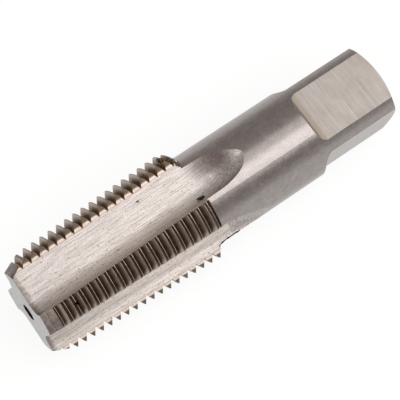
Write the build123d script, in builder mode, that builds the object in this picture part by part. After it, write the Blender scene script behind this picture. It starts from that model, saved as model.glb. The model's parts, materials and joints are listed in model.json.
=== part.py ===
import os
from math import acos, asin, atan, cos, degrees, pi, radians, sin, sqrt, tan

from build123d import *

# A 1/2-14 taper pipe tap, cut from one bar of tool steel. It is modelled standing on its tip,
# with its axis on Z, and then laid down the way it comes to rest on a bench.

# Overall
overall_length = 78.0
shank_diameter = 17.8

# Back end: turned to a shallow crown, with a flat face in its middle
end_crown_radius = 18.8
end_face_diameter = 12.0

# Thread: 60 degree form on a 1 in 16 taper, right hand
threads_per_inch = 14
thread_angle = 60.0
taper_on_diameter = 1 / 16
crest_diameter_at_tip = 19.86
crest_flat = 0.18
root_flat = 0.10
thread_length = 36.1
thread_end_chamfer = 0.9
first_root = 1.06

# Lead chamfer at the tip
tip_diameter = 16.5
lead_angle = 24.5

# Flutes: a straight cutting face, a rounded floor and a long heel side
flute_count = 4
web_distance = 5.14
flute_angle = 98.7
floor_radius = 2.8
web_rise = 0.032
flute_full_length = 39.5
flute_cutter_radius = 12.5

# Driving square: four milled flats with a rounded run-out
square_flats = 4
square_across_flats = 14.35
square_length = 16.0
square_turn = -21.3
square_runout_radius = 2.2

# Centre holes in both ends
centre_hole_diameter = 3.3
centre_pilot_diameter = 1.6
centre_cone_angle = 60.0
centre_pilot_depth = 3.2
drill_point_angle = 118.0

# How far a cutter runs past the face that it leaves, in length and in degrees of turn
overrun = 1.0
overrun_turn = 8.0

# Thread sizes that follow from the above
pitch = 25.4 / threads_per_inch
taper = taper_on_diameter / 2
shank_radius = shank_diameter / 2
crest_radius_at_tip = crest_diameter_at_tip / 2
flank_slope = tan(radians(thread_angle / 2))
thread_depth = (pitch - crest_flat - root_flat) / (2 * flank_slope)
crest_radius_at_end = crest_radius_at_tip + taper * thread_length
lead_slope = tan(radians(lead_angle))
lead_length = (crest_radius_at_tip - tip_diameter / 2) / (lead_slope - taper)
lead_end_radius = crest_radius_at_tip + taper * lead_length
pitch_radius = crest_radius_at_tip + taper * thread_length / 2 - thread_depth / 2
thread_lead_angle = degrees(atan(pitch / (2 * pi * pitch_radius)))

# The crown is part of a sphere whose centre lies on the axis
end_face_radius = end_face_diameter / 2
crown_centre = overall_length - sqrt(end_crown_radius**2 - end_face_radius**2)
crown_edge = crown_centre + sqrt(end_crown_radius**2 - shank_radius**2)

# Blank: the turned bar before the thread, the flutes and the square are cut
with BuildPart() as tap_blank:
    with BuildSketch(Plane.XZ) as blank_profile:
        with BuildLine():
            Polyline(
                (end_face_radius, overall_length),
                (0, overall_length),
                (0, 0),
                (tip_diameter / 2, 0),
                (lead_end_radius, lead_length),
                (crest_radius_at_end, thread_length - thread_end_chamfer),
                (crest_radius_at_end - thread_end_chamfer, thread_length),
                (shank_radius, thread_length),
                (shank_radius, crown_edge),
            )
            RadiusArc((shank_radius, crown_edge), (end_face_radius, overall_length), -end_crown_radius)
        make_face()
    revolve(axis=Axis.Z)

# Thread grooves. Every land carries the same right-hand helix, a part of a pitch further on than the land
# before it. Over one land's short arc a turn of the helix is a circle tilted by the lead angle. A land is
# widest at its root, from its cutting face at 0 degrees to its heel.
flute_spacing = 360 / flute_count
root_radius_at_tip = crest_radius_at_tip - thread_depth
land_width = flute_spacing + 90 - flute_angle - degrees(acos(web_distance / root_radius_at_tip))
groove_arc = land_width + 2 * overrun_turn
groove_cut = thread_depth + crest_flat / 2
groove_half_width = root_flat / 2 + groove_cut * flank_slope
with BuildPart() as thread_grooves:
    for land in range(flute_count):
        land_turn = land * flute_spacing + land_width / 2
        land_radial = Vector(1, 0, 0).rotate(Axis.Z, land_turn)
        groove_axis = Vector(0, 0, 1).rotate(Axis((0, 0, 0), land_radial), thread_lead_angle)
        start_radial = land_radial.rotate(Axis((0, 0, 0), groove_axis), -groove_arc / 2)
        groove_height = first_root + pitch * land_turn / 360
        while groove_height < thread_length + pitch / 2:
            groove_centre = Vector(0, 0, groove_height)
            root_radius = root_radius_at_tip + taper * groove_height
            with BuildSketch(Plane(groove_centre, start_radial, start_radial.cross(groove_axis))):
                with BuildLine():
                    Polyline(
                        (root_radius, -root_flat / 2),
                        (root_radius + groove_cut, -groove_half_width),
                        (root_radius + groove_cut, groove_half_width),
                        (root_radius, root_flat / 2),
                        close=True,
                    )
                make_face()
            revolve(axis=Axis(groove_centre, groove_axis), revolution_arc=groove_arc)
            groove_height += pitch

# Flute section, seen from the shank. The cutting face of the first land lies along X, and the heel side of
# the land ahead of it leans away at the flute angle. The cutter is fed in along the bisector of the two.
half_flute_angle = flute_angle / 2
feed = Vector(1, 0, 0).rotate(Axis.Z, -half_flute_angle)
heel_side = Vector(1, 0, 0).rotate(Axis.Z, -flute_angle)
flute_corner = Vector(web_distance / sin(radians(flute_angle)), 0, 0)
flute_reach = crest_radius_at_end
floor_centre_offset = floor_radius / sin(radians(half_flute_angle))
floor_nose = flute_corner + feed * (floor_centre_offset - floor_radius)

# The cutter's path: straight along the flute, climbing with the web, then round on the cutter's own radius.
# The section stands square to the path, so the cutter leaves true cones and a ring where it turns out.
web_angle = degrees(atan(web_rise))
flute_path = Vector(0, 0, 1) + feed * web_rise
flute_start = flute_path * -overrun
flute_turn_in = flute_path * flute_full_length
arbor_side = Vector(0, 0, 1).cross(feed)
web_tilt = Axis((0, 0, 0), arbor_side)
section_side = Vector(1, 0, 0).rotate(web_tilt, web_angle)
section_normal = Vector(0, 0, 1).rotate(web_tilt, web_angle)
arbor_offset = feed.rotate(web_tilt, web_angle) * flute_cutter_radius
nose_offset = floor_nose.rotate(web_tilt, web_angle)
arbor = Axis(flute_turn_in + nose_offset + arbor_offset, arbor_side)
runout_arc = degrees(acos(1 - crest_radius_at_end / flute_cutter_radius))
with BuildSketch() as flute_section:
    with BuildLine() as flute_outline:
        Polyline(flute_corner + heel_side * flute_reach, flute_corner, flute_corner + Vector(flute_reach, 0))
        fillet(flute_outline.vertices().sort_by_distance(flute_corner)[0], floor_radius)
        Line(flute_corner + Vector(flute_reach, 0), flute_corner + heel_side * flute_reach)
    make_face()
with BuildPart() as flute_cutter:
    with BuildSketch(Plane(flute_start, section_side, section_normal)):
        add(flute_section.sketch)
    extrude(amount=(flute_turn_in - flute_start).length)
    with BuildSketch(Plane(flute_turn_in, section_side, section_normal)):
        add(flute_section.sketch)
    revolve(axis=arbor, revolution_arc=runout_arc)

# One flat of the driving square, milled into the round shank by a cutter with a rounded corner
flat_distance = square_across_flats / 2
flat_start = overall_length - square_length
runout_start = flat_start - square_runout_radius
with BuildPart() as flat_cutter:
    with BuildSketch(Plane.XZ) as flat_profile:
        with BuildLine():
            Line((flat_distance, flat_start), (flat_distance, overall_length + overrun))
            Line((flat_distance, overall_length + overrun), (shank_diameter, overall_length + overrun))
            Line((shank_diameter, overall_length + overrun), (shank_diameter, runout_start))
            Line((shank_diameter, runout_start), (flat_distance + square_runout_radius, runout_start))
            RadiusArc(
                (flat_distance + square_runout_radius, runout_start),
                (flat_distance, flat_start),
                square_runout_radius,
            )
        make_face()
    extrude(amount=shank_diameter, both=True)

# Centre drill: a 60 degree seat for a lathe centre, and a pilot hole behind it
centre_seat_depth = (centre_hole_diameter - centre_pilot_diameter) / 2 / tan(radians(centre_cone_angle / 2))
drill_point_length = centre_pilot_diameter / 2 / tan(radians(drill_point_angle / 2))
with BuildPart() as centre_drill:
    with BuildSketch(Plane.XZ) as centre_profile:
        with BuildLine():
            Polyline(
                (0, 0),
                (centre_hole_diameter / 2, 0),
                (centre_pilot_diameter / 2, centre_seat_depth),
                (centre_pilot_diameter / 2, centre_seat_depth + centre_pilot_depth),
                (0, centre_seat_depth + centre_pilot_depth + drill_point_length),
                close=True,
            )
        make_face()
    revolve(axis=Axis.Z)

# The tap itself, standing on its tip
with BuildPart() as standing_tap:
    add(tap_blank.part)
    add(thread_grooves.part, mode=Mode.SUBTRACT)
    with PolarLocations(0, flute_count):
        add(flute_cutter.part, mode=Mode.SUBTRACT)
    with PolarLocations(0, square_flats, start_angle=square_turn):
        add(flat_cutter.part, mode=Mode.SUBTRACT)
    add(centre_drill.part, mode=Mode.SUBTRACT)
    with Locations(Plane((0, 0, overall_length), (1, 0, 0), (0, 0, -1))):
        add(centre_drill.part, mode=Mode.SUBTRACT)

# Laid down, the tap rests on the two lands beside one flute, at the back of the thread where they are
# highest, and on its shank, just ahead of the square.
rest_height = thread_length - thread_end_chamfer
rest_radius = crest_radius_at_tip + taper * rest_height
side_shift = web_rise * rest_height * sin(radians(half_flute_angle))
cutting_edge_turn = -degrees(asin(side_shift / rest_radius))
heel_edge_turn = 90 - flute_angle - degrees(acos((web_distance + side_shift) / rest_radius))
half_opening = (cutting_edge_turn - heel_edge_turn) / 2
land_rest = rest_radius * cos(radians(half_opening))
runout_turn = acos(1 - (shank_radius - flat_distance) / square_runout_radius)
shank_contact = flat_start - square_runout_radius * sin(runout_turn)
rest_angle = degrees(atan((land_rest - shank_radius) / (shank_contact - rest_height)))
up_turn = (cutting_edge_turn + heel_edge_turn) / 2

# The bench is Z = 0. The shank points along +X and dips to the bench by the rest angle.
axis_along = Vector(cos(radians(rest_angle)), 0, -sin(radians(rest_angle)))
axis_up = Vector(sin(radians(rest_angle)), 0, cos(radians(rest_angle)))
flute_radial = axis_up.rotate(Axis((0, 0, 0), axis_along), -up_turn)
tip_up = rest_height * sin(radians(rest_angle)) + land_rest * cos(radians(rest_angle))
tip_back = overall_length / 2 * cos(radians(rest_angle))
rest_plane = Plane((-tip_back, 0, tip_up), flute_radial, axis_along)
with BuildPart(rest_plane) as tap:
    add(standing_tap.part)
tap.part.label = "tap"

os.makedirs("parts", exist_ok=True)
export_step(tap.part, "parts/tap.step")
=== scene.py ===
import bpy
import json
import math
from mathutils import Euler, Matrix, Vector


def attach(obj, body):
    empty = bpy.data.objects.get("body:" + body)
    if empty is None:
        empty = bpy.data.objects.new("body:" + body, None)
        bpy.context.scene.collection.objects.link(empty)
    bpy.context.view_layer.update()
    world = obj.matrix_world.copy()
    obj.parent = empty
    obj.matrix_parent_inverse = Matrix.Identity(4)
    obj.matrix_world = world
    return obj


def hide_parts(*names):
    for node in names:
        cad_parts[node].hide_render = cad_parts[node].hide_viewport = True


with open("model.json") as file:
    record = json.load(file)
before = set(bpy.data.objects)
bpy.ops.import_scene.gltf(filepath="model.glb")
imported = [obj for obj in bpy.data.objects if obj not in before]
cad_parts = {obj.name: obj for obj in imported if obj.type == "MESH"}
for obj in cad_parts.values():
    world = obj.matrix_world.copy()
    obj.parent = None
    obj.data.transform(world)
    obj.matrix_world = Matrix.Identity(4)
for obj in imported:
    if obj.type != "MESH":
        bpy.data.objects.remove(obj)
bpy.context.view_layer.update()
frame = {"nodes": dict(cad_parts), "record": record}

mm = 0.001
mounts = {mount["name"]: mount for mount in frame["record"]["mounts"]}

# the tap's own axes: along runs from its tip to its square, and it dips a little towards the bench
tapTip = Vector(mounts["tip_centre"]["pos_m"])
tapEnd = Vector(mounts["back_centre"]["pos_m"])
along = (tapEnd - tapTip).normalized()
across = Vector((0, 1, 0))
upright = along.cross(across)
dip = math.atan2(-along.z, along.x)

# in millimetres, as are all sizes and places below unless a note says otherwise
tapSizes = dict(
    shankRadius=8.9,
    threadLength=36.1,
    crestRadius=9.93,  # at the tip face, if the lead chamfer weren't there
    taper=1 / 32,  # of the radius
    threadDepth=1.33,
    runoutStart=39.5,
    fluteEnd=47.0,
    squareStart=59.8,
    crownStart=76.7,
)


def deselectAll():
    if bpy.context.object and bpy.context.object.mode != "OBJECT":
        bpy.ops.object.mode_set(mode="OBJECT")
    bpy.ops.object.select_all(action="DESELECT")


def addNode(tree, kind, place, **settings):
    node = tree.nodes.new(kind)
    node.location = place
    for name, value in settings.items():
        setattr(node, name, value)
    return node


def join(tree, source, target):
    tree.links.new(source, target)


def srgb(red, green, blue):
    def linear(value):
        value /= 255
        return value / 12.92 if value <= 0.04045 else ((value + 0.055) / 1.055) ** 2.4
    return (linear(red), linear(green), linear(blue), 1)


# object coordinates turned into the tap's axes, in millimetres from the centre of its tip face
def tapCoordinates(tree, place):
    turn = Matrix.Rotation(-dip, 3, "Y")
    coordinates = addNode(tree, "ShaderNodeTexCoord", place)
    mapping = addNode(tree, "ShaderNodeMapping", (place[0] + 200, place[1]))
    mapping.inputs["Scale"].default_value = (1 / mm, 1 / mm, 1 / mm)
    mapping.inputs["Rotation"].default_value = (0, -dip, 0)
    mapping.inputs["Location"].default_value = -(turn @ tapTip) / mm
    join(tree, coordinates.outputs["Object"], mapping.inputs["Vector"])
    return mapping.outputs["Vector"]


def stretchedNoise(tree, vector, place, scale, turn=(0, 0, 0), detail=4, rough=0.6):
    mapping = addNode(tree, "ShaderNodeMapping", place)
    mapping.inputs["Rotation"].default_value = [math.radians(angle) for angle in turn]
    stretch = addNode(tree, "ShaderNodeMapping", (place[0] + 180, place[1]))
    stretch.inputs["Scale"].default_value = scale
    noise = addNode(tree, "ShaderNodeTexNoise", (place[0] + 360, place[1]))
    noise.inputs["Scale"].default_value = 1
    noise.inputs["Detail"].default_value = detail
    noise.inputs["Roughness"].default_value = rough
    join(tree, vector, mapping.inputs["Vector"])
    join(tree, mapping.outputs["Vector"], stretch.inputs["Vector"])
    join(tree, stretch.outputs["Vector"], noise.inputs["Vector"])
    return noise.outputs["Fac"]


# places and half sizes in the tap's axes: along from the tip, across and up
marks = dict(
    faceEdge=dict(place=(0, 0, 0), size=(1.3, 30, 30), ragged=1.0, soft=0.8,
                  tint=(112, 100, 94), share=0.7),
    # darker and lighter areas: painted shade and painted light, and a darker band on the flats
    # painted shade: a darker area over the upper flute's run-out, standing in for its shape
    runoutShade=dict(place=(42.0, 2.4, 7.6), size=(7.0, 6.2, 5.0), ragged=0.7, soft=0.75,
                     tint=(140, 133, 131), share=1.0, blend="MULTIPLY"),
    # painted shade: a darker area over the near flute's run-out
    nearRunoutShade=dict(place=(44, -7, -2), size=(9, 5, 6), ragged=0.3, soft=0.8,
                         tint=(226, 226, 228), share=1.0, blend="MULTIPLY"),
    # painted light: lightness added along the upper flute's floor beside the middle land's cutting edge
    floorPaintedLight=dict(place=(20, -2.8, 5.8), size=(28, 2.4, 1.9), ragged=0.3, soft=0.95,
                     tint=(152, 143, 132), share=0.85, blend="ADD"),
    # painted light: lightness added over the near flute
    nearFlutePaintedLight=dict(place=(26, -5.9, -2.0), size=(34, 5, 5), ragged=0.3, soft=0.9,
                         tint=(136, 131, 125), share=0.85, blend="ADD"),
    runoutBand=dict(place=(60.0, -1.7, 8), size=(2.4, 30, 30), ragged=0.15, soft=0.5,
                    tint=(152, 139, 125), share=0.75),
    # nicks, pits, spots and a scratch
    starNick=dict(place=(35.9, -3.0, 6.4), size=(1.05, 0.62, 0.8), ragged=0.75, soft=0.35,
                  tint=(66, 55, 50), share=1.0),
    rootSpot=dict(place=(6.7, -6.5, 6.2), size=(0.5, 0.45, 0.45), ragged=0.3, soft=0.4,
                  tint=(20, 14, 12), share=1.0),
    toothSpot=dict(place=(20.9, 7.6, 6.1), size=(0.7, 0.6, 0.7), ragged=0.4, soft=0.4,
                   tint=(48, 46, 34), share=1.0),
    flutePit=dict(place=(26.1, 2.7, 7.8), size=(0.35, 0.25, 0.25), ragged=0.2, soft=0.4,
                  tint=(70, 60, 54), share=0.9),
    burrSpot=dict(place=(33.4, 4.6, 8.6), size=(0.55, 0.6, 0.5), ragged=0.5, soft=0.4,
                  tint=(40, 32, 28), share=1.0),
    cornerPit=dict(place=(0, 6.0, -2.4), size=(0.4, 0.45, 0.45), ragged=0.2, soft=0.4,
                   tint=(50, 46, 44), share=0.9),
    shankScratch=dict(place=(52.0, 2.8, 8.4), size=(3.2, 0.07, 0.3), ragged=0.05, soft=0.5,
                      tint=(208, 204, 196), share=0.6),
)
markEdge = dict(perMillimetre=1.6, detail=5)  # the noise that makes the marks' edges ragged


# how much of a mark shows at each place, from nothing to all of it
def markShare(tree, vector, mark, place):
    wander = addNode(tree, "ShaderNodeTexNoise", place)
    wander.inputs["Scale"].default_value = markEdge["perMillimetre"]
    wander.inputs["Detail"].default_value = markEdge["detail"]
    centred = addNode(tree, "ShaderNodeVectorMath", (place[0] + 180, place[1]), operation="SUBTRACT")
    centred.inputs[1].default_value = (0.5, 0.5, 0.5)
    strength = addNode(tree, "ShaderNodeVectorMath", (place[0] + 360, place[1]), operation="SCALE")
    strength.inputs["Scale"].default_value = 2 * mark["ragged"]
    moved = addNode(tree, "ShaderNodeVectorMath", (place[0] + 540, place[1]), operation="ADD")
    fromMark = addNode(tree, "ShaderNodeVectorMath", (place[0] + 720, place[1]), operation="SUBTRACT")
    fromMark.inputs[1].default_value = mark["place"]
    inSizes = addNode(tree, "ShaderNodeVectorMath", (place[0] + 900, place[1]), operation="DIVIDE")
    inSizes.inputs[1].default_value = mark["size"]
    distance = addNode(tree, "ShaderNodeVectorMath", (place[0] + 1080, place[1]), operation="LENGTH")
    share = addNode(tree, "ShaderNodeMapRange", (place[0] + 1260, place[1]), interpolation_type="SMOOTHSTEP")
    share.inputs["From Min"].default_value = 1 - mark["soft"]
    share.inputs["From Max"].default_value = 1
    share.inputs["To Min"].default_value = mark["share"]
    share.inputs["To Max"].default_value = 0
    join(tree, vector, wander.inputs["Vector"])
    join(tree, wander.outputs["Color"], centred.inputs[0])
    join(tree, centred.outputs["Vector"], strength.inputs[0])
    join(tree, vector, moved.inputs[0])
    join(tree, strength.outputs["Vector"], moved.inputs[1])
    join(tree, moved.outputs["Vector"], fromMark.inputs[0])
    join(tree, fromMark.outputs["Vector"], inSizes.inputs[0])
    join(tree, inSizes.outputs["Vector"], distance.inputs[0])
    join(tree, distance.outputs["Value"], share.inputs["Value"])
    return share.outputs["Result"]


# rust-coloured rim of the upper land's teeth, in a thin slice along the flat side of the flute beside it
heelRim = dict(
    facing=(-0.024, -0.438, 0.899),  # square to that flat side
    distance=5.14,  # from the middle of the tip face to the middle of the slice
    width=0.5,  # each way
    tint=(178, 138, 102),
)


def rimShare(tree, vector, place):
    depth = addNode(tree, "ShaderNodeVectorMath", place, operation="DOT_PRODUCT")
    depth.inputs[1].default_value = heelRim["facing"]
    share = addNode(tree, "ShaderNodeMath", (place[0] + 200, place[1]), operation="COMPARE")
    share.inputs[1].default_value = heelRim["distance"]
    share.inputs[2].default_value = heelRim["width"]
    join(tree, vector, depth.inputs[0])
    join(tree, depth.outputs["Value"], share.inputs[0])
    return share.outputs["Value"]


# stains on the teeth, and one painted reflection (pale): each grows from its depth below the crests
# outwards, over its width
toothStainsAndSheen = dict(
    rust=dict(startBelowCrest=1.34, width=0.06, share=0.60, tint=(196, 150, 108)),
    bare=dict(startBelowCrest=1.20, width=0.08, share=0.85, tint=(218, 210, 204)),
    brown=dict(startBelowCrest=0.92, width=0.22, share=0.95, tint=(92, 77, 64)),
    # painted reflection: the flanks facing the tip made paler towards the crests, where they catch the light
    pale=dict(startBelowCrest=0.80, width=0.55, share=0.60, tint=(202, 192, 185)),
)


def stainAndSheenShare(tree, vector, stain, place):
    offAxis = addNode(tree, "ShaderNodeVectorMath", place, operation="MULTIPLY")
    offAxis.inputs[1].default_value = (0, 1, 1)
    radius = addNode(tree, "ShaderNodeVectorMath", (place[0] + 180, place[1]), operation="LENGTH")
    parts = addNode(tree, "ShaderNodeSeparateXYZ", (place[0], place[1] - 200))
    tapered = addNode(tree, "ShaderNodeMath", (place[0] + 360, place[1]), operation="MULTIPLY_ADD")
    tapered.inputs[1].default_value = -tapSizes["taper"]
    share = addNode(tree, "ShaderNodeMapRange", (place[0] + 540, place[1]))
    start = tapSizes["crestRadius"] - stain["startBelowCrest"]
    share.inputs["From Min"].default_value = start
    share.inputs["From Max"].default_value = start + stain["width"]
    share.inputs["To Max"].default_value = stain["share"]
    onThread = addNode(tree, "ShaderNodeMath", (place[0] + 540, place[1] - 250), operation="LESS_THAN")
    onThread.inputs[1].default_value = tapSizes["threadLength"]
    both = addNode(tree, "ShaderNodeMath", (place[0] + 720, place[1]), operation="MULTIPLY")
    join(tree, vector, offAxis.inputs[0])
    join(tree, offAxis.outputs["Vector"], radius.inputs[0])
    join(tree, vector, parts.inputs[0])
    join(tree, parts.outputs["X"], tapered.inputs[0])
    join(tree, radius.outputs["Value"], tapered.inputs[2])
    join(tree, tapered.outputs[0], share.inputs["Value"])
    join(tree, parts.outputs["X"], onThread.inputs[0])
    join(tree, share.outputs["Result"], both.inputs[0])
    join(tree, onThread.outputs[0], both.inputs[1])
    return both.outputs[0]


# small dark pits strewn over a surface, where a fine noise rises above its start
finePits = dict(perMillimetre=2.6, start=0.64, width=0.08, share=0.65, tint=(128, 113, 100))


def pitShare(tree, vector, place):
    specks = stretchedNoise(tree, vector, place, [finePits["perMillimetre"]] * 3, detail=1)
    share = addNode(tree, "ShaderNodeMapRange", (place[0] + 560, place[1]))
    share.inputs["From Min"].default_value = finePits["start"]
    share.inputs["From Max"].default_value = finePits["start"] + finePits["width"]
    share.inputs["To Max"].default_value = finePits["share"]
    join(tree, specks, share.inputs["Value"])
    return share.outputs["Result"]


# what all the steels have in common
finish = dict(
    noiseLow=0.35,  # the part of a noise's range that a tint runs over, unless a look has its own
    noiseHigh=0.65,
    roughSpread=0.06,
    bumpHeight=0.02,
)


def tintRamp(tree, place, low, high, dark, light):
    ramp = addNode(tree, "ShaderNodeValToRGB", place)
    ramp.color_ramp.elements[0].position = low
    ramp.color_ramp.elements[1].position = high
    ramp.color_ramp.elements[0].color = srgb(*dark)
    ramp.color_ramp.elements[1].color = srgb(*light)
    return ramp


# the share and the settings of all that lies over a steel's own colour, lowest first
def surfaceLayers(tree, vector, look):
    layers = []
    for row, markName in enumerate(look.get("marks", ())):
        mark = marks[markName]
        layers.append((markShare(tree, vector, mark, (-1600, -700 - 250 * row)), mark))
    for row, toothTintName in enumerate(look.get("stainsAndSheen", ())):
        stain = toothStainsAndSheen[toothTintName]
        layers.append((stainAndSheenShare(tree, vector, stain, (-1600, 900 + 500 * row)), stain))
    if look.get("pitted"):
        layers.append((pitShare(tree, vector, (-1600, 2400)), finePits))
    if look.get("rim"):
        layers.append((rimShare(tree, vector, (-1600, 500)), heelRim))
    return layers


# steel with lines left by its grinding or milling, blotches over them, and its marks on top
def steelMaterial(name, look):
    steel = bpy.data.materials.new(name)
    steel.use_nodes = True
    tree = steel.node_tree
    shader = tree.nodes["Principled BSDF"]
    shader.inputs["Metallic"].default_value = 1
    vector = tapCoordinates(tree, (-1600, 0))
    lines = stretchedNoise(tree, vector, (-1150, 200), look["lines"], look.get("turn", (0, 0, 0)))
    blotches = stretchedNoise(tree, vector, (-1150, -200), look["blotches"], detail=3)

    lineLow = look.get("lineLow", finish["noiseLow"])
    lineHigh = look.get("lineHigh", finish["noiseHigh"])
    lineTint = tintRamp(tree, (-550, 250), lineLow, lineHigh, look["dark"], look["light"])
    blotchTint = tintRamp(tree, (-550, -150), finish["noiseLow"], finish["noiseHigh"],
                          look["stain"], (255, 255, 255))
    tint = addNode(tree, "ShaderNodeMix", (-230, 150), data_type="RGBA", blend_type="MULTIPLY")
    tint.inputs["Factor"].default_value = 1
    rough = addNode(tree, "ShaderNodeMapRange", (-230, -50))
    rough.inputs["To Min"].default_value = look["rough"] - finish["roughSpread"]
    rough.inputs["To Max"].default_value = look["rough"] + finish["roughSpread"]
    bump = addNode(tree, "ShaderNodeBump", (-230, -350))
    bump.inputs["Strength"].default_value = look["bump"]
    bump.inputs["Distance"].default_value = finish["bumpHeight"] * mm
    join(tree, lines, lineTint.inputs["Fac"])
    join(tree, blotches, blotchTint.inputs["Fac"])
    join(tree, lineTint.outputs["Color"], tint.inputs["A"])
    join(tree, blotchTint.outputs["Color"], tint.inputs["B"])
    join(tree, blotches, rough.inputs["Value"])
    join(tree, lines, bump.inputs["Height"])

    colour = tint.outputs["Result"]
    for row, (share, layer) in enumerate(surfaceLayers(tree, vector, look)):
        mix = addNode(tree, "ShaderNodeMix", (-50, 350 + 200 * row), data_type="RGBA",
                      blend_type=layer.get("blend", "MIX"), clamp_result=True)
        mix.inputs["B"].default_value = srgb(*layer["tint"])
        join(tree, share, mix.inputs["Factor"])
        join(tree, colour, mix.inputs["A"])
        colour = mix.outputs["Result"]
    join(tree, colour, shader.inputs["Base Color"])
    join(tree, rough.outputs["Result"], shader.inputs["Roughness"])
    join(tree, bump.outputs["Normal"], shader.inputs["Normal"])
    return steel


# lines and blotches: how fast they change along, across and up, per millimetre; turn is in degrees
looks = dict(
    groundSteel=dict(lines=(4.5, 5.0, 5.0), blotches=(0.7, 0.9, 0.9),
                     dark=(151, 145, 143), light=(169, 163, 160), stain=(240, 237, 235),
                     rough=0.27, bump=0.22, marks=("shankScratch",)),
    fluteSteel=dict(lines=(0.10, 9.0, 9.0), lineLow=0.38, lineHigh=0.57, blotches=(4.2, 5.6, 5.6),
                    dark=(180, 173, 168), light=(225, 219, 216), stain=(231, 228, 225),
                    rough=0.48, bump=0.5, stainsAndSheen=("rust", "bare", "brown"), pitted=True,
                    marks=("floorPaintedLight", "nearFlutePaintedLight", "faceEdge", "runoutShade",
                           "starNick", "flutePit")),
    runoutSteel=dict(lines=(0.10, 6.0, 6.0), turn=(0, 0, -18), lineLow=0.36, lineHigh=0.60,
                     blotches=(2.4, 3.0, 3.0),
                     dark=(172, 164, 159), light=(234, 228, 224), stain=(240, 237, 234),
                     rough=0.42, bump=0.6, marks=("runoutShade", "nearRunoutShade", "starNick")),
    milledSteel=dict(lines=(5.6, 0.12, 0.12), blotches=(0.5, 0.35, 0.35),
                     dark=(162, 156, 151), light=(182, 176, 172), stain=(243, 240, 236),
                     rough=0.30, bump=0.3, marks=("runoutBand",)),
    tipFlank=dict(lines=(1.5, 1.2, 1.2), blotches=(0.8, 0.9, 0.9),
                  dark=(128, 109, 92), light=(160, 142, 126), stain=(222, 212, 202),
                  rough=0.45, bump=0.3, stainsAndSheen=("pale",),
                  marks=("rootSpot", "toothSpot", "burrSpot"), rim=True),
    # painted shade: the brown steel of the flanks facing the tip, painted darker on the flanks that face the
    # shank
    shadedShankFlank=dict(lines=(1.5, 1.2, 1.2), blotches=(0.8, 0.9, 0.9),
                    dark=(92, 78, 66), light=(128, 112, 98), stain=(220, 208, 198),
                    rough=0.48, bump=0.3, marks=("rootSpot",), rim=True),
    # the beige steel of the thread roots, painted lighter as the bright highlight line along them
    rootSteelAndHighlight=dict(lines=(1.2, 1.0, 1.0), blotches=(0.5, 0.6, 0.6),
                   dark=(184, 168, 152), light=(224, 210, 194), stain=(230, 220, 208),
                   rough=0.42, bump=0.2, marks=("rootSpot",)),
    crestSteel=dict(lines=(1.4, 1.2, 1.2), blotches=(0.5, 0.6, 0.6),
                    dark=(124, 116, 112), light=(150, 142, 138), stain=(225, 218, 212),
                    rough=0.45, bump=0.2),
    faceSteel=dict(lines=(1.6, 1.6, 1.6), blotches=(0.6, 0.6, 0.6),
                   dark=(178, 177, 177), light=(200, 199, 199), stain=(228, 226, 224),
                   rough=0.34, bump=0.3, marks=("cornerPit",)),
    burrSteel=dict(lines=(3.0, 3.0, 3.0), blotches=(1.6, 1.6, 1.6),
                   dark=(70, 58, 48), light=(150, 138, 124), stain=(170, 150, 130),
                   rough=0.5, bump=0.6),
    # painted shade: near-black steel for the raised strip that stands for the shade inside the crack
    crackShade=dict(lines=(3.0, 3.0, 3.0), blotches=(1.6, 1.6, 1.6),
                   dark=(34, 30, 28), light=(66, 60, 56), stain=(190, 184, 178),
                   rough=0.6, bump=0.4),
    # painted shade: the centre hole painted near black, for the shade inside it
    shadedHoleSteel=dict(lines=(2.0, 2.0, 2.0), blotches=(0.9, 0.9, 0.9),
                   dark=(24, 21, 20), light=(48, 44, 42), stain=(200, 196, 190),
                   rough=0.55, bump=0.3),
)
materials = {name: steelMaterial(name, look) for name, look in looks.items()}
print("materials", len(materials))

# what tells the surfaces apart; a facing is 1 straight that way, 0 square to it and -1 straight away
surfaceTests = dict(
    holeRadius=1.7,
    holeFacingOut=-0.4,  # the hole's wall faces the axis
    faceDepth=0.01,
    crownFacingBack=0.2,
    pastThread=0.05,
    underThread=0.45,
    flankFacingBack=0.75,
    crestFacingOut=0.8,
    rootBelowCrest=1.0,
    rootFacingBack=-0.2,  # the lead chamfer faces the tip more than this
    cutDepth=0.01,  # below the round of the shank
    cutFacingBack=0.2,
)


# which surface of the tap a facet belongs to, from its place and the way it faces
def surfaceOf(centre, normal):
    fromTip = centre - tapTip
    height = fromTip.dot(along) / mm
    outward = fromTip - fromTip.dot(along) * along
    radius = outward.length / mm
    facingBack = normal.dot(along)
    facingOut = normal.dot(outward.normalized())
    crest = tapSizes["crestRadius"] + tapSizes["taper"] * height
    belowShank = radius < tapSizes["shankRadius"] - surfaceTests["cutDepth"]
    threadEnd = tapSizes["threadLength"] + surfaceTests["pastThread"]
    threadFloor = crest - tapSizes["threadDepth"] - surfaceTests["underThread"]
    inThread = height < threadEnd and radius > threadFloor

    if radius < surfaceTests["holeRadius"] and facingOut < surfaceTests["holeFacingOut"]:
        return "shadedHoleSteel"
    if height < surfaceTests["faceDepth"]:
        return "faceSteel"
    if height > tapSizes["crownStart"] and facingBack > surfaceTests["crownFacingBack"]:
        return "faceSteel"
    if inThread and abs(facingBack) > surfaceTests["flankFacingBack"]:
        return "tipFlank" if facingBack < 0 else "shadedShankFlank"
    if inThread and facingOut > surfaceTests["crestFacingOut"]:
        deep = radius < crest - surfaceTests["rootBelowCrest"]
        return "rootSteelAndHighlight" if deep and facingBack > surfaceTests["rootFacingBack"] else "crestSteel"
    if height < tapSizes["fluteEnd"] and belowShank:
        return "fluteSteel" if height < tapSizes["runoutStart"] else "runoutSteel"
    if height < tapSizes["threadLength"] and abs(facingBack) < surfaceTests["cutFacingBack"]:
        return "fluteSteel"
    if height > tapSizes["squareStart"] and belowShank:
        return "milledSteel"
    return "groundSteel"


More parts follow.
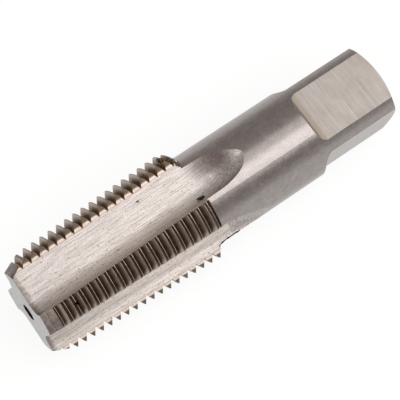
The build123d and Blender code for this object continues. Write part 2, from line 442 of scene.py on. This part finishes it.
# the tap itself: the same mesh as its solid, with a material for each kind of surface
deselectAll()
tapBody = frame["nodes"]["tap"].copy()
tapBody.data = frame["nodes"]["tap"].data.copy()
tapBody.name = "tapBody"
for key in list(tapBody.keys()):  # the copy is a new piece, so it drops the node's own properties
    del tapBody[key]
tapBody.parent = None
bpy.context.scene.collection.objects.link(tapBody)
surfaces = [surfaceOf(facet.center, facet.normal) for facet in tapBody.data.polygons]
usedLooks = [name for name in looks if name in surfaces]
tapBody.data.materials.clear()
for name in usedLooks:
    tapBody.data.materials.append(materials[name])
for facet, surface in zip(tapBody.data.polygons, surfaces):
    facet.material_index = usedLooks.index(surface)
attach(tapBody, "root")
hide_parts("tap")
print("tap body", len(tapBody.data.vertices), len(tapBody.data.polygons))


def tapPoint(height, sideways, up):
    return tapTip + mm * (height * along + sideways * across + up * upright)


# torn metal: stretched lumps along a line of points in the tap's axes, joined and made ragged
def tornMetal(name, piece, material):
    deselectAll()
    lumps = []
    spots = [tapPoint(*point) for point in piece["points"]]
    thick = piece["thickness"] * mm / 2
    for start, end in zip(spots, spots[1:]):
        way = end - start
        bpy.ops.mesh.primitive_ico_sphere_add(subdivisions=3, radius=1, location=(start + end) / 2,
                                              rotation=way.to_track_quat("X", "Z").to_euler())
        lump = bpy.context.object
        lump.scale = (way.length / 2 + thick, thick, thick * piece["height"])
        lumps.append(lump)
    deselectAll()
    for lump in lumps:
        lump.select_set(True)
    bpy.context.view_layer.objects.active = lumps[0]
    bpy.ops.object.join()
    torn = bpy.context.object
    torn.name = name
    bpy.ops.object.transform_apply(location=True, rotation=True, scale=True)
    clouds = bpy.data.textures.new(name + "Clouds", "CLOUDS")
    clouds.noise_scale = piece["grain"] * mm
    ragged = torn.modifiers.new("ragged", "DISPLACE")
    ragged.texture = clouds
    ragged.texture_coords = "GLOBAL"
    ragged.strength = piece["ragged"] * mm
    bpy.ops.object.modifier_apply(modifier=ragged.name)
    torn.data.materials.append(material)
    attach(torn, "root")
    print(name, len(torn.data.polygons))


threadBurr = dict(  # over the last turns of the upper land
    points=((33.7, 6.9, 8.6), (34.6, 6.1, 8.8), (35.3, 5.4, 8.85), (35.8, 4.7, 8.75), (36.1, 4.0, 8.5)),
    thickness=0.85,
    height=1.0,  # as a share of the thickness
    grain=0.4,
    ragged=0.75,
)
# painted shade: the crack is a thin raised strip of near-black steel, standing for the shade inside it
fluteCrack = dict(  # from the last tooth of the land below the near flute, along that flute's edge
    points=((36.0, -8.0, -4.7), (36.3, -7.85, -4.5), (37.4, -7.75, -4.3), (39.0, -7.72, -4.25),
            (41.4, -7.78, -4.2)),
    thickness=0.25,
    height=0.9,
    grain=0.3,
    ragged=0.28,
)
tornMetal("threadBurr", threadBurr, materials["burrSteel"])
tornMetal("fluteCrack", fluteCrack, materials["crackShade"])

studioPaper = dict(  # sizes in metres
    size=4.0,
    brightRadius=0.25,
    fadeRadius=1.2,
    farWhite=0.55,
    cameraWhite=1.07,
    glowShare=0.8,  # the rest is lit paper, which takes the shadow
    colour=(0.9, 0.9, 0.9, 1),
)
deselectAll()
bpy.ops.mesh.primitive_plane_add(size=studioPaper["size"], location=(0, 0, 0))
floor = bpy.context.object
floor.name = "studioFloor"


# pale paper: plain white to the camera but for the shadow, and dimmer far off in what the steel reflects
def floorMaterial():
    paper = bpy.data.materials.new("studioPaper")
    paper.use_nodes = True
    tree = paper.node_tree
    tree.nodes.clear()
    out = addNode(tree, "ShaderNodeOutputMaterial", (700, 0))
    diffuse = addNode(tree, "ShaderNodeBsdfDiffuse", (100, -150))
    diffuse.inputs["Color"].default_value = studioPaper["colour"]
    glow = addNode(tree, "ShaderNodeEmission", (100, 100))
    path = addNode(tree, "ShaderNodeLightPath", (-700, 300))
    coordinates = addNode(tree, "ShaderNodeTexCoord", (-900, -100))
    distance = addNode(tree, "ShaderNodeVectorMath", (-700, -100), operation="LENGTH")
    fade = addNode(tree, "ShaderNodeMapRange", (-500, -100), interpolation_type="SMOOTHSTEP")
    fade.inputs["From Min"].default_value = studioPaper["brightRadius"]
    fade.inputs["From Max"].default_value = studioPaper["fadeRadius"]
    fade.inputs["To Min"].default_value = 1
    fade.inputs["To Max"].default_value = studioPaper["farWhite"]
    plain = addNode(tree, "ShaderNodeMath", (-300, -50), operation="MAXIMUM")
    ownWhite = addNode(tree, "ShaderNodeMath", (-500, -300), operation="MULTIPLY")
    ownWhite.inputs[1].default_value = studioPaper["cameraWhite"]
    seen = addNode(tree, "ShaderNodeMath", (-500, 300), operation="MAXIMUM")
    seenAll = addNode(tree, "ShaderNodeMath", (-300, 300), operation="MAXIMUM")
    share = addNode(tree, "ShaderNodeMath", (-100, 300), operation="MULTIPLY")
    share.inputs[1].default_value = studioPaper["glowShare"]
    mix = addNode(tree, "ShaderNodeMixShader", (400, 0))
    join(tree, path.outputs["Is Camera Ray"], seen.inputs[0])
    join(tree, path.outputs["Is Glossy Ray"], seen.inputs[1])
    join(tree, seen.outputs[0], seenAll.inputs[0])
    join(tree, path.outputs["Is Transmission Ray"], seenAll.inputs[1])
    join(tree, seenAll.outputs[0], share.inputs[0])
    join(tree, share.outputs[0], mix.inputs[0])
    join(tree, coordinates.outputs["Object"], distance.inputs[0])
    join(tree, distance.outputs["Value"], fade.inputs["Value"])
    join(tree, fade.outputs["Result"], plain.inputs[0])
    join(tree, path.outputs["Is Camera Ray"], ownWhite.inputs[0])
    join(tree, ownWhite.outputs[0], plain.inputs[1])
    join(tree, plain.outputs[0], glow.inputs["Strength"])
    join(tree, diffuse.outputs[0], mix.inputs[1])
    join(tree, glow.outputs[0], mix.inputs[2])
    join(tree, mix.outputs[0], out.inputs["Surface"])
    return paper


floor.data.materials.append(floorMaterial())

# a dim warm room: its colour at the horizon and below, about 20 degrees up, and overhead
studioRoom = dict(
    horizon=(0.60, 0.565, 0.54, 1),
    middle=(0.40, 0.37, 0.355, 1),
    middleHeight=0.35,
    overhead=(0.50, 0.47, 0.45, 1),
)


def roomWorld():
    world = bpy.data.worlds.new("studioRoom")
    world.use_nodes = True
    tree = world.node_tree
    background = tree.nodes["Background"]
    coordinates = addNode(tree, "ShaderNodeTexCoord", (-900, 0))
    parts = addNode(tree, "ShaderNodeSeparateXYZ", (-700, 0))
    ramp = addNode(tree, "ShaderNodeValToRGB", (-500, 0))
    ramp.color_ramp.elements[0].color = studioRoom["horizon"]
    ramp.color_ramp.elements[1].position = studioRoom["middleHeight"]
    ramp.color_ramp.elements[1].color = studioRoom["middle"]
    above = ramp.color_ramp.elements.new(1)
    above.color = studioRoom["overhead"]
    join(tree, coordinates.outputs["Generated"], parts.inputs[0])
    join(tree, parts.outputs["Z"], ramp.inputs["Fac"])
    join(tree, ramp.outputs["Color"], background.inputs["Color"])
    return world


bpy.context.scene.world = roomWorld()

# each softbox: the way to it from the bench, as tilt towards the square and turn towards +Y in degrees,
# its length and width in metres, and its power in watts
softboxDistance = 0.9  # in metres
softboxes = dict(
    key=dict(tilt=22, turn=-33, size=(0.66, 0.48), power=2.2),
    top=dict(tilt=24, turn=-5, size=(0.60, 0.36), power=0.60),
    left=dict(tilt=-52, turn=-28, size=(0.40, 0.50), power=1.5),
    right=dict(tilt=66, turn=-3, size=(0.70, 0.80), power=1.5),
    side=dict(tilt=-25, turn=-54, size=(0.60, 0.30), power=0.85),
)


def softbox(name, box):
    lamp = bpy.data.lights.new(name, "AREA")
    lamp.shape = "RECTANGLE"
    lamp.size, lamp.size_y = box["size"]
    lamp.energy = box["power"]
    tilt, turn = math.radians(box["tilt"]), math.radians(box["turn"])
    outward = Vector((math.sin(tilt), math.cos(tilt) * math.sin(turn), math.cos(tilt) * math.cos(turn)))
    lengthwise = (Vector((1, 0, 0)) - outward * outward.x).normalized()
    stand = bpy.data.objects.new(name, lamp)
    bpy.context.scene.collection.objects.link(stand)
    stand.location = outward * softboxDistance
    stand.rotation_euler = Matrix((lengthwise, outward.cross(lengthwise), outward)).transposed().to_euler()


for name, box in softboxes.items():
    softbox(name + "Softbox", box)
print("studio", len(softboxes))

view = dict(
    place=(-74.970, -117.342, 269.491),
    turn=(27.904, 2.409, -36.632),  # in degrees
    lens=145.27,
    sensorWidth=36,
    nearest=10,
)
camera = bpy.data.cameras.new("camera")
camera.lens = view["lens"]
camera.sensor_width = view["sensorWidth"]
camera.clip_start = view["nearest"] * mm
cameraStand = bpy.data.objects.new("camera", camera)
bpy.context.scene.collection.objects.link(cameraStand)
cameraStand.location = [value * mm for value in view["place"]]
cameraStand.rotation_euler = Euler([math.radians(value) for value in view["turn"]])
bpy.context.scene.camera = cameraStand
bpy.context.scene.view_settings.view_transform = "Standard"
print("camera")
